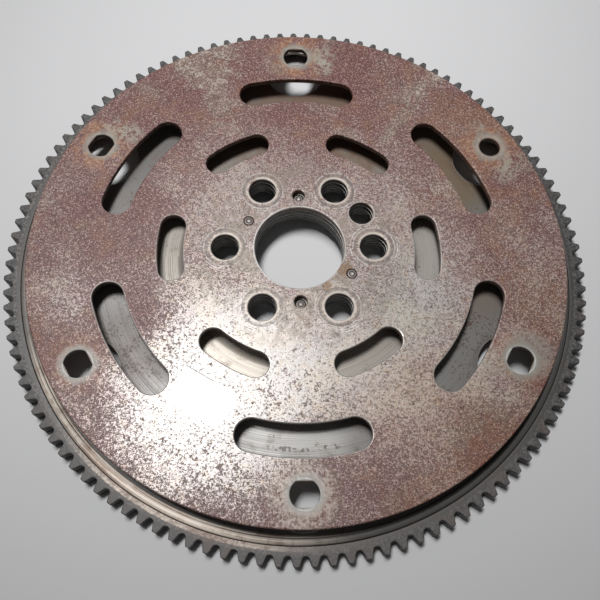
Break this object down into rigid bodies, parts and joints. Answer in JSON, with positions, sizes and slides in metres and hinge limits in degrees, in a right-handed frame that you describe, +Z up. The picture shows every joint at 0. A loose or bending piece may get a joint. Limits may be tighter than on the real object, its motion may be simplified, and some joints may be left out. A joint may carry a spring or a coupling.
{
  "type": "flexplate",
  "caption": "Flat slotted steel drive plate riveted at its hub to a dished carrier with a starter ring gear, used and rusty.",
  "frame": {"origin": "on the axis of rotation, at the height of the ring gear's lower face, on which it rests", "axes": "+Z up along the axis of rotation, from the engine side to the converter side; +X through a crankshaft bolt hole, with the round converter locating hole 30 degrees anticlockwise from it"},
  "size_m": [0.3642, 0.3642, 0.0259],
  "materials": {
    "flex_plate": "bare sheet steel with thin speckled red-brown rust, worn bright at its edges",
    "spacers": "bare machined steel, darkened",
    "carrier_plate": "bare pressed steel with fine turning marks and a light brown tarnish",
    "ring_gear": "dark hardened steel, matt",
    "rivets": "bare steel, worn bright"
  },
  "bodies": {
    "root": {"flex_plate": "flex_plate", "upper_spacer": "spacers", "carrier_plate": "carrier_plate", "lower_spacer": "spacers", "ring_gear": "ring_gear", "rivet_long_left": "rivets", "rivet_long_right": "rivets", "rivet_short_back": "rivets", "rivet_short_front": "rivets"}
  },
  "joints": []
}
